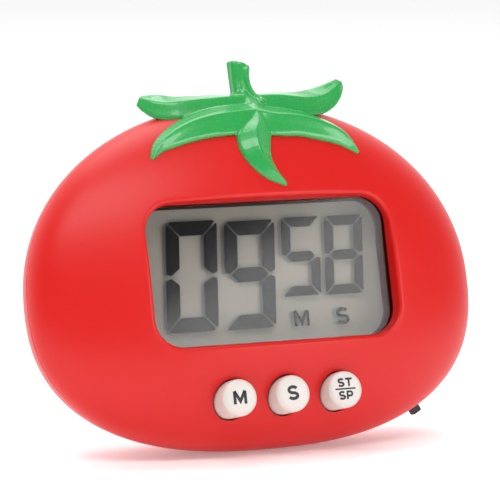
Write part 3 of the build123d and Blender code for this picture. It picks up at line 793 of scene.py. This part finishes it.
    def build(self) -> bpy.types.Object:
        """Mesh the skin between its rim and its openings, then give it a wall.

        Returns:
            The closed shell.
        """
        window = self.window_line()
        openings = [self.lip_rings(*window, self.window_lip, self.window_draft, self.window_floor)]
        for middle in (-self.button_pitch, 0, self.button_pitch):
            openings.append(self.lip_rings(*self.hole_line(middle), self.hole_lip, 0.0, self.hole_floor))
        outline = self.rim_line()
        bulge = self.skin.front_bulge
        rim_rings = [outline * math.sqrt(1 - (depth / bulge) ** 2) for depth in self.rim_depths]
        loops = [rim_rings[0]] + [rings[0][:, :2] for rings in openings]
        half = self.skin.half_width
        rows = []
        for row, up in enumerate(np.arange(-half, half, self.spacing * math.sqrt(0.75))):
            across = np.arange(-half, half, self.spacing) + (row % 2) * self.spacing / 2
            rows.append(np.column_stack([across, np.full(len(across), up)]))
        lattice = np.concatenate(rows)
        lattice = lattice[self.skin.reach(lattice[:, 0], lattice[:, 1]) < self.lattice_reach]
        lattice = lattice[~self.in_opening(self.rolled(lattice), self.lattice_margin)]
        flat = np.concatenate([self.unrolled(loop) for loop in loops] + [lattice])
        edges, start = [], 0
        for loop in loops:
            edges += [(start + i, start + (i + 1) % len(loop)) for i in range(len(loop))]
            start += len(loop)
        got = delaunay_2d_cdt([Vector(p) for p in flat], edges, [], 0, 1e-7)
        flat = np.array([tuple(p) for p in got[0]])
        places = self.rolled(flat)
        faces = np.array([tuple(f) for f in got[2]])
        middles = places[faces].mean(axis=1)
        faces = faces[~self.in_opening(middles, -0.02)]
        points = [np.column_stack([places, self.skin.front(places[:, 0], places[:, 1])])]
        count = len(places)
        faces = [tuple(f) for f in faces]
        rim_rings.append(outline * (1 - self.rim_inset))
        depths = (*self.rim_depths, 0.0)
        rim = [np.column_stack([ring, np.full(len(ring), depth)]) for ring, depth in zip(rim_rings, depths)]
        for rings in [rim, *openings]:
            size = len(rings[0])
            for number, ring in enumerate(rings):
                points.append(ring)
                if number:
                    faces += ring_faces(count - size, count, size)
                count += size
        shell = from_points("front_shell_skin", np.concatenate(points), faces)
        mend(shell, 0.02)
        normal = sum((f.normal * f.area for f in shell.data.polygons), Vector())
        if normal.z < 0:
            shell.data.flip_normals()
        modify(shell, "SOLIDIFY", thickness=self.thickness, offset=-1.0, use_even_offset=False)
        smooth(shell, 42)
        return shell


# ---------------------------------------------------------------------------- the calyx


@dataclass(frozen=True)
class Station:
    """A leaf's cross-section: a place near the skin, its lift off there, half its width and height, its twist."""

    across: float
    up: float
    depth: float
    lift: float
    half_width: float
    half_height: float
    twist: float = 0.0


@dataclass
class Calyx:
    """Five ridged leaves, a hub and a grooved stem, moulded as one, in millimetres."""

    skin: Skin = field(default_factory=Skin)
    # These stations were worked out by a separate script from measured outlines, then rounded, and
    # some were moved by hand. They are not driven by the timer's own dimensions.
    leaves: dict[str, list[Station]] = field(default_factory=lambda: {
        "front": [
            Station(1.6, 34.4, 4.6, 0.0, 3.4, 1.6),
            Station(0.9, 31.4, 7.4, 0.0, 3.3, 1.9),
            Station(-0.4, 29.1, 8.7, 0.0, 3.5, 2.1),
            Station(-0.9, 26.4, 9.9, 0.0, 3.3, 2.0),
            Station(-0.3, 23.8, 10.9, 0.0, 2.5, 1.7),
            Station(1.1, 21.5, 11.6, 0.0, 1.7, 1.4),
            Station(2.7, 19.9, 11.9, 0.0, 0.95, 0.9),
            Station(3.9, 18.9, 12.2, 0.0, 0.35, 0.45),
        ],
        "front_left": [
            Station(1.1, 33.0, 6.2, 0.0, 4.0, 1.8),
            Station(-3.7, 32.6, 6.5, 0.0, 4.0, 2.0),
            Station(-8.8, 31.9, 6.6, 0.0, 3.5, 2.1),
            Station(-13.3, 30.8, 6.8, 0.0, 2.9, 2.0),
            Station(-17.0, 29.4, 7.1, 0.0, 2.2, 1.7),
            Station(-19.7, 27.6, 7.4, 0.0, 1.3, 1.2),
            Station(-21.6, 25.4, 8.1, 0.0, 0.35, 0.45),
        ],
        "front_right": [
            Station(1.1, 33.0, 6.2, 0.0, 4.0, 1.8),
            Station(4.6, 32.0, 6.9, 0.0, 3.8, 2.0),
            Station(9.6, 31.5, 6.9, 0.0, 3.4, 2.1),
            Station(13.9, 30.4, 7.0, 0.0, 3.1, 2.0),
            Station(17.7, 28.9, 7.2, 0.0, 2.5, 1.7),
            Station(20.0, 27.1, 7.7, 0.0, 1.6, 1.2),
            Station(21.7, 25.0, 8.3, 0.0, 0.4, 0.45),
        ],
        "rear_left": [
            Station(1.6, 36.2, 2.4, 0.0, 3.2, 1.8, 10.0),
            Station(-2.2, 35.8, 3.0, 0.1, 3.3, 1.9, 15.0),
            Station(-8.6, 35.5, 2.6, 0.3, 3.3, 1.9, 22.0),
            Station(-13.3, 35.1, 2.0, 0.9, 3.2, 1.7, 30.0),
            Station(-15.6, 34.9, 1.3, 1.7, 3.0, 1.4, 38.0),
            Station(-17.2, 34.7, 0.3, 3.0, 2.3, 1.1, 42.0),
            Station(-18.2, 34.5, -0.5, 4.2, 1.4, 0.9, 42.0),
        ],
        "rear_right": [
            Station(1.6, 36.2, 2.4, 0.0, 3.2, 1.8, 10.0),
            Station(4.4, 35.8, 3.0, 0.3, 3.2, 1.9, 12.0),
            Station(8.1, 35.6, 2.8, 0.6, 3.2, 1.9, 18.0),
            Station(12.5, 35.0, 2.6, 1.0, 3.2, 1.7, 26.0),
            Station(15.6, 34.5, 2.1, 1.9, 3.1, 1.5, 34.0),
            Station(17.8, 34.1, 1.6, 3.4, 2.7, 1.3, 40.0),
            Station(19.2, 33.7, 1.2, 5.3, 2.0, 1.1, 42.0),
            Station(20.1, 33.5, 0.8, 7.0, 1.2, 0.8, 42.0),
        ],
    })
    section: tuple[tuple[float, float], ...] = (
        (-1.0, -0.05), (-0.97, 0.2), (-0.84, 0.38), (-0.5, 0.68), (-0.2, 0.98), (0.0, 1.15),
        (0.2, 0.98), (0.5, 0.68), (0.84, 0.38), (0.97, 0.2), (1.0, -0.05),
        (0.7, -0.6), (0.0, -0.75), (-0.7, -0.6),
    )
    stem_rings: tuple[tuple[float, float, float, float, float], ...] = (
        (1.6, 34.4, 2.6, 4.6, 4.2),
        (1.5, 36.0, 2.2, 3.9, 3.4),
        (1.4, 37.4, 1.8, 2.9, 2.6),
        (1.2, 39.0, 1.6, 2.15, 2.0),
        (1.05, 41.0, 1.4, 2.0, 1.85),
        (1.2, 42.8, 1.3, 2.15, 1.95),
        (1.35, 44.3, 1.2, 2.3, 2.0),
        (1.38, 44.7, 1.2, 2.0, 1.75),
    )
    stem_steps: int = 60
    knot: tuple[float, float, float, float] = (4.3, 36.0, 4.6, 1.15)
    rib_radius: float = 0.55
    voxel: float = 0.22

    def leaf(self, name: str, stations: Sequence[Station]) -> bpy.types.Object:
        """Sweep the ridged section along a leaf.

        Args:
            name: Which leaf it is.
            stations: Its cross-sections, from the hub to the tip.

        Returns:
            The leaf as a closed shape.
        """
        table = np.array(
            [
                (s.across, s.up, s.depth, s.lift, s.half_width, s.half_height, math.radians(s.twist))
                for s in stations
            ]
        )
        count = len(table)
        padded = np.vstack([2 * table[0] - table[1], table, 2 * table[-1] - table[-2]])
        rows = []
        for t in np.linspace(0, count - 1, 30):
            i = min(int(t), count - 2)
            f = t - i
            a, b, c, d = padded[i : i + 4]
            curve = (2 * a - 5 * b + 4 * c - d) * f**2 + (3 * b - a - 3 * c + d) * f**3
            rows.append(0.5 * (2 * b + (c - a) * f + curve))
        rows = np.array(rows)
        rows[:, 4:6] = np.maximum(rows[:, 4:6], 0.3)
        spine = np.array([self.skin.lifted(*row[:4]) for row in rows])
        rings = []
        for index, row in enumerate(rows):
            along = spine[min(index + 1, len(rows) - 1)] - spine[max(index - 1, 0)]
            along = along / np.linalg.norm(along)
            out = self.skin.normal(spine[index])
            side = np.cross(out, along)
            side = side / np.linalg.norm(side)
            out = np.cross(along, side)
            turn = row[6] if side[2] < 0 else -row[6]
            cos, sin = math.cos(turn), math.sin(turn)
            side, out = side * cos + out * sin, out * cos - side * sin
            middle, wide, tall = spine[index], row[4], row[5]
            rings.append([middle + side * across * wide + out * high * tall for across, high in self.section])
        return loft("leaf_" + name, rings)

    def stem(self) -> bpy.types.Object:
        """Loft the grooved stem, cut off aslant at its top."""
        rings = []
        for across, up, depth, wide, deep in self.stem_rings:
            ring = []
            for step in range(self.stem_steps):
                angle = 2 * math.pi * step / self.stem_steps
                groove = 1 - 0.13 * max(0.0, math.cos(6 * angle + 0.9)) ** 2
                x, z = wide * groove * math.cos(angle), deep * groove * math.sin(angle)
                slant = -0.28 * x * min(1.0, max(0.0, (up - 41.5) / 2.5))
                ring.append((across + x, up + slant, depth + z))
            rings.append(ring)
        return loft("stem", rings)

    def rib(self) -> bpy.types.Object:
        """A rib that runs down the stem's right front into a small knot."""
        deselect()
        across, up, depth, radius = self.knot
        bpy.ops.curve.primitive_nurbs_path_add(location=(0, 0, 0))
        rib = bpy.context.object
        line = [
            (2.2, 43.4, 3.1),
            (1.9, 41.5, 3.2),
            (1.9, 39.5, 3.4),
            (2.6, 37.8, 3.9),
            (across - 0.5, up + 0.6, depth - 0.1),
            (across, up, depth),
        ]
        path = rib.data.splines[0]
        path.points.add(len(line) - len(path.points))
        for point, place in zip(path.points, line):
            point.co = (*place, 1)
        path.use_endpoint_u = True
        rib.data.bevel_depth = self.rib_radius
        rib.data.bevel_resolution = 6
        rib.data.use_fill_caps = True
        bpy.ops.object.convert(target="MESH")
        bpy.ops.object.select_all(action="DESELECT")
        bpy.ops.mesh.primitive_uv_sphere_add(
            segments=32, ring_count=16, radius=radius, location=(across, up, depth)
        )
        bulb = bpy.context.object
        bulb.scale = (0.8, 1.25, 0.8)
        bulb.rotation_euler = (0.0, 0.0, 0.6)
        bpy.ops.object.transform_apply(location=True, rotation=True, scale=True)
        return join("rib", [rib, bulb])

    def build(self) -> bpy.types.Object:
        """Fuse the leaves and stem into one moulding with soft inner corners."""
        pieces = [self.leaf(name, stations) for name, stations in self.leaves.items()]
        pieces += [self.stem(), self.rib()]
        calyx = join("calyx_moulding", pieces)
        modify(calyx, "REMESH", mode="VOXEL", voxel_size=self.voxel)
        modify(calyx, "SMOOTH", factor=0.5, iterations=3)
        smooth(calyx, 60)
        return calyx


# ---------------------------------------------------------------------------- buttons


@dataclass
class Button:
    """A turned push button with its printed legend, in millimetres."""

    name: str
    legend: str
    middle: float
    row: float = -20.9
    radius: float = 3.5
    top: float = 14.1
    edge: float = 1.1
    flange_radius: float = 4.3
    flange_top: float = 5.2
    flange_bottom: float = 4.3
    plunger_radius: float = 1.9
    plunger_end: float = 2.6
    print_shift: float = 0.28

    def profile(self) -> list[tuple[float, float]]:
        """Radius and height of the button's outline, from the middle of its top round to its plunger."""
        points = [(0.0, self.top), (1.2, self.top - 0.01), (self.radius - self.edge, self.top - 0.06)]
        for step in range(1, 9):
            angle = math.radians(90 * step / 8)
            points.append(
                (
                    self.radius - self.edge + self.edge * math.sin(angle),
                    self.top - 0.06 - self.edge + self.edge * math.cos(angle),
                )
            )
        points += [
            (self.radius, self.flange_top + 0.15),
            (self.radius + 0.15, self.flange_top),
            (self.flange_radius - 0.1, self.flange_top),
            (self.flange_radius, self.flange_top - 0.1),
            (self.flange_radius, self.flange_bottom),
            (self.plunger_radius, self.flange_bottom),
            (self.plunger_radius, self.plunger_end),
            (0.0, self.plunger_end),
        ]
        return points

    def legend_pieces(self) -> list[bpy.types.Object]:
        """The legend's letters, and the bar between two lines."""
        depth = self.top - 0.02
        across = self.middle - self.print_shift
        if "/" not in self.legend:
            return lettering(self.legend, 2.7, 0.6, (across, self.row - 1.25), depth, 0.05)
        upper, lower = self.legend.split("/")
        pieces = lettering(upper, 1.6, 0.39, (across, self.row + 0.5), depth, 0.05)
        pieces += lettering(lower, 1.6, 0.39, (across, self.row - 1.94), depth, 0.05)
        bar = [(across - 2.1, self.row + 0.08), (across + 2.1, self.row + 0.08)]
        pieces.append(stroke(bar, 0.3, depth, 0.05))
        return pieces

    def build(self, finishes: Finishes) -> None:
        """Make the button and its legend, and let both ride on the button's body."""
        knob = turned(self.name + "_cap", self.profile(), (self.middle, self.row), 96)
        smooth(knob, 40)
        seat(knob, self.name, "white_plastic", finishes.get("white_plastic"), self.name)
        ink = join(self.name + "_legend", self.legend_pieces())
        mend(ink, 0.0001)
        seat(ink, self.name, "black_plastic", finishes.get("ink"))


# ---------------------------------------------------------------------------- display


class Lit(Enum):
    """Which of a digit's seven bars are dark, named a to g from the top round and then the middle."""

    ZERO = "abcdef"
    FIVE = "acdfg"
    EIGHT = "abcdefg"
    NINE = "abcdfg"


@dataclass
class Digit:
    """One seven-bar digit on the display, in millimetres."""

    lit: Lit
    left: float
    bottom: float
    width: float
    height: float
    bar: float
    gap: float = 0.34
    slant: float = 1.9 / 21.1

    def bars(self) -> list[list[tuple[float, float]]]:
        """Outlines of the dark bars, upright, from the digit's lower left corner."""
        w, h, b = self.width, self.height, self.bar
        m, c, g, k = h / 2, b / 2, self.gap / math.sqrt(2), 0.3 * b
        far, near, tip = (k + g) / 2, (k - g) / 2, 0.36 * b
        top = [(k, 0), (far, near), (b + g, b), (w - b - g, b), (w - far, near), (w - k, 0)]
        side = [(0, k), (near, far), (b, b + g), (b, m - c - g), (tip, m - g), (0, m - 0.35 * c - g)]
        shapes = {
            "a": [(x, h - y) for x, y in top],
            "d": top,
            "e": side,
            "f": [(x, h - y) for x, y in side],
            "c": [(w - x, y) for x, y in side],
            "b": [(w - x, h - y) for x, y in side],
            "g": [
                (tip + 1.7 * g, m),
                (b + 0.8 * g, m + c),
                (w - b - 0.8 * g, m + c),
                (w - tip - 1.7 * g, m),
                (w - b - 0.8 * g, m - c),
                (b + 0.8 * g, m - c),
            ],
        }
        return [shapes[name] for name in self.lit.value]

    def slabs(self, depth: float, thick: float) -> list[bpy.types.Object]:
        """The dark bars as thin closed slabs.

        Args:
            depth: Depth of their middle.
            thick: Their thickness.

        Returns:
            One object for each bar.
        """
        made = []
        for outline in self.bars():
            flat = [(self.left + x + self.slant * y, self.bottom + y) for x, y in outline]
            n = len(flat)
            points = [(x, y, depth + s * thick / 2) for s in (-1, 1) for x, y in flat]
            faces = [tuple(range(n))[::-1], tuple(range(n, 2 * n)), *ring_faces(0, n, n)]
            made.append(from_points("bar", points, faces))
        return made


@dataclass
class Display:
    """The dark bars and letters between the display's two glasses, in millimetres."""

    depth: float = 3.5
    thick: float = 0.03
    middle: float = 3.0
    width: float = 54.2
    front_height: float = 32.0
    rear_height: float = 27.6
    glass_front: float = 4.6
    glass_back: float = 2.4
    # Painted shadow: how far left the grey copy of the bars sits on the film.
    image_shift: float = 0.3
    digits: tuple[Digit, ...] = (
        Digit(Lit.ZERO, -20.1, -7.15, 10.6, 21.15, 2.75),
        Digit(Lit.NINE, -8.0, -7.3, 10.6, 20.85, 2.75),
        Digit(Lit.FIVE, 4.6, -1.6, 8.2, 15.35, 1.9),
        Digit(Lit.EIGHT, 13.8, -1.7, 8.2, 15.35, 1.9),
    )

    def figures(self, depth: float, shift: float) -> list[bpy.types.Object]:
        """The digits' bars and the two letters, at a depth and moved across by a distance."""
        pieces = [slab for digit in self.digits for slab in digit.slabs(depth, self.thick)]
        pieces += lettering("M", 3.3, 0.66, (8.1, -7.45), depth, self.thick)
        pieces += lettering("S", 3.3, 0.72, (16.9, -7.6), depth, self.thick)
        for piece in pieces:
            piece.location.x = shift
        return pieces

    def glass(self, finishes: Finishes) -> None:
        """Make the cell of two bonded glasses, the rear one shorter to bare the front one's contacts."""
        sheets = []
        sizes = (
            (self.glass_back - 0.03, self.depth + 0.1, self.rear_height),
            (self.depth, self.glass_front, self.front_height),
        )
        for low, high, tall in sizes:
            deselect()
            bpy.ops.mesh.primitive_cube_add(size=1, location=(0, self.middle, (low + high) / 2))
            sheet = bpy.context.object
            sheet.scale = (self.width, tall, high - low)
            bpy.ops.object.transform_apply(location=True, rotation=True, scale=True)
            sheets.append(sheet)
        rear, front = sheets
        modify(front, "BOOLEAN", operation="UNION", object=rear, solver="EXACT")
        bpy.data.objects.remove(rear)
        front.name = "display_cell"
        modify(front, "BEVEL", width=0.12, segments=2)
        clear = finishes.get("display_glass")
        seat(front, "case", "display_glass", clear, "lcd_front_glass", "lcd_rear_glass")

    def build(self, finishes: Finishes) -> None:
        """Make the cell, the dark bars and letters in it, and a painted shadow copy of them on the film behind.
        """
        self.glass(finishes)
        # Painted shadow: a grey copy of the bars and letters, moved left onto the film, stands in for their cast
        # shadows.
        image = join("display_painted_shadow", self.figures(self.glass_back + 0.03, -self.image_shift))
        mend(image, 0.0001)
        seat(image, "case", "reflector_film", finishes.get("image"))
        dark = join("display_segments", self.figures(self.depth, 0.0))
        mend(dark, 0.0001)
        seat(dark, "case", "black_plastic", finishes.get("segment"))


# ---------------------------------------------------------------------------- carried-over parts


def dress_nodes(frame: dict, finishes: Finishes) -> None:
    """Give every CAD node its slot's material, on the object and not on its mesh.

    Args:
        finishes: The material store.
    """
    for part in frame["record"]["subparts"]:
        node = frame["nodes"][part["node"]]
        material = finishes.get(part["material_slot"])
        # The display's frame takes the maroon of painted shade and red bounce instead of its slot's black.
        if part["node"] == "lcd_frame":
            material = finishes.get("frame")
        for slot in node.material_slots:
            slot.link = "OBJECT"
            slot.material = material
        log.info("%s dressed as %s", part["node"], material.name)


# ---------------------------------------------------------------------------- room


@dataclass
class Studio:
    """Camera, floor and lamps, in metres and degrees."""

    azimuth: float = 24.5
    elevation: float = 7.1
    distance: float = 0.5786
    lens: float = 216.0
    aim_left: float = 0.56 * MM
    aim_up: float = 8.18 * MM
    lens_depth: float = 9.0
    room_glow: float = 0.24
    backdrop_glow: float = 1.5

    def camera(self) -> None:
        """Set the camera at the reader's side, a little to the right and above."""
        a, e = math.radians(self.azimuth), math.radians(self.elevation)
        ahead = Vector((math.cos(e) * math.sin(a), math.cos(e) * math.cos(a), -math.sin(e)))
        right = Vector((math.cos(a), -math.sin(a), 0))
        above = right.cross(ahead)
        place = FACE.translation - ahead * self.distance - right * self.aim_left + above * self.aim_up
        camera = bpy.data.objects.new("camera", bpy.data.cameras.new("camera"))
        bpy.context.scene.collection.objects.link(camera)
        camera.data.lens = self.lens
        camera.data.sensor_width = 36
        camera.data.clip_start = 0.01
        camera.matrix_world = Matrix.Translation(place) @ Matrix((right, above, -ahead)).transposed().to_4x4()
        bpy.context.scene.camera = camera

    def lamp(
        self,
        name: str,
        place: Sequence[float],
        size: tuple[float, float],
        power: float,
        goal: Sequence[float] = (0, 0, 0.035),
    ) -> bpy.types.Object:
        """Hang a soft rectangular lamp that looks at the timer.

        Args:
            name: The lamp's name.
            place: Where it hangs.
            size: Its width and height.
            power: Its output, in watts.
            goal: What it points at.

        Returns:
            The lamp.
        """
        light = bpy.data.lights.new(name, "AREA")
        light.shape = "RECTANGLE"
        light.size, light.size_y = size
        light.energy = power
        lamp = bpy.data.objects.new(name, light)
        bpy.context.scene.collection.objects.link(lamp)
        lamp.location = place
        lamp.rotation_mode = "QUATERNION"
        lamp.rotation_quaternion = (Vector(goal) - Vector(place)).to_track_quat("-Z", "Y")
        return lamp

    def mirrored(self, x: float, up: float, far: float) -> Vector:
        """Where the camera, looking at a point of the lens, sees its mirror image at a distance from it."""
        point = FACE @ (Vector((x, up, self.lens_depth)) * MM)
        out = FACE.to_3x3() @ Vector((0, 0, 1))
        ray = (point - bpy.context.scene.camera.matrix_world.translation).normalized()
        ray = ray - 2 * ray.dot(out) * out
        return point + ray * far

    def glow(self, far: float = 0.7, size: tuple[float, float] = (0.34, 0.18), power: float = 1.2) -> None:
        """Hang the lamp whose soft edge is mirrored across the lens, from its lower left to its upper right.

        Args:
            far: How far from the lens it hangs.
            size: Its length along that edge, and its width.
            power: Its output, in watts.
        """
        bpy.context.view_layer.update()
        start, end = self.mirrored(-19.0, -2.0, far), self.mirrored(12.5, 15.5, far)
        lens = FACE @ (Vector((0, 3.0, self.lens_depth)) * MM)
        edge = (end - start).normalized()
        facing = (lens - (start + end) / 2).normalized()
        edge = (edge - edge.dot(facing) * facing).normalized()
        below = facing.cross(edge)
        if below.z > 0:
            below = -below
        lamp = self.lamp("lens_softbox", (start + end) / 2 + below * size[1] / 2, size, power, lens)
        lamp.rotation_quaternion = Matrix((edge, (-facing).cross(edge), -facing)).transposed().to_quaternion()

    def floor(self) -> None:
        """Lay a plain pale floor."""
        deselect()
        bpy.ops.mesh.primitive_plane_add(size=8, location=(0, 0, 0))
        floor = bpy.context.object
        floor.name = "floor"
        material = bpy.data.materials.new("pale_paper")
        material.use_nodes = True
        shader = material.node_tree.nodes["Principled BSDF"]
        shader.inputs["Base Color"].default_value = linear("FBFBFB")
        shader.inputs["Roughness"].default_value = 0.9
        shader.inputs["Specular IOR Level"].default_value = 0.2
        shader.inputs["Emission Color"].default_value = linear("FFFFFF")
        shader.inputs["Emission Strength"].default_value = 0.2
        floor.data.materials.append(material)

    def build(self) -> None:
        """Set up the room."""
        scene = bpy.context.scene
        scene.view_settings.view_transform = "Standard"
        world = bpy.data.worlds.new("studio")
        scene.world = world
        world.use_nodes = True
        tree = world.node_tree
        around = add_node(tree, "ShaderNodeTexCoord").outputs["Generated"]
        ahead = add_node(tree, "ShaderNodeSeparateXYZ", Vector=around).outputs["Y"]
        bright = add_node(
            tree,
            "ShaderNodeMapRange",
            {"interpolation_type": "SMOOTHSTEP"},
            Value=ahead,
            From_Min=-0.15,
            From_Max=0.6,
            To_Min=self.room_glow,
            To_Max=self.backdrop_glow,
        )
        tree.nodes["Background"].inputs["Color"].default_value = linear("FFFFFF")
        tree.links.new(bright.outputs["Result"], tree.nodes["Background"].inputs["Strength"])
        self.camera()
        self.floor()
        self.glow()
        self.lamp("front_softbox", (-0.3, -0.5, 0.85), (0.9, 0.35), 5.3)
        self.lamp("top_softbox", (0.0, 0.35, 1.1), (0.8, 0.8), 6.0, (0.0, 0.1, 0.0))


def main() -> None:
    """Build the timer, dress it and light it."""
    logging.basicConfig(level=logging.INFO, format="%(message)s")
    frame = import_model()
    deselect()
    finishes = Finishes()
    dress_nodes(frame, finishes)
    seat(FrontShell().build(), "case", "red_plastic", finishes.get("red_plastic"), "front_shell")
    seat(Calyx().build(), "case", "green_plastic", finishes.get("green_plastic"), "calyx")
    for name, legend, middle in (
        ("minutes_button", "M", -10.95),
        ("seconds_button", "S", 0.0),
        ("start_stop_button", "ST/SP", 10.95),
    ):
        Button(name, legend, middle).build(finishes)
    Display().build(finishes)
    Studio().build()


if __name__ == "__main__":
    main()
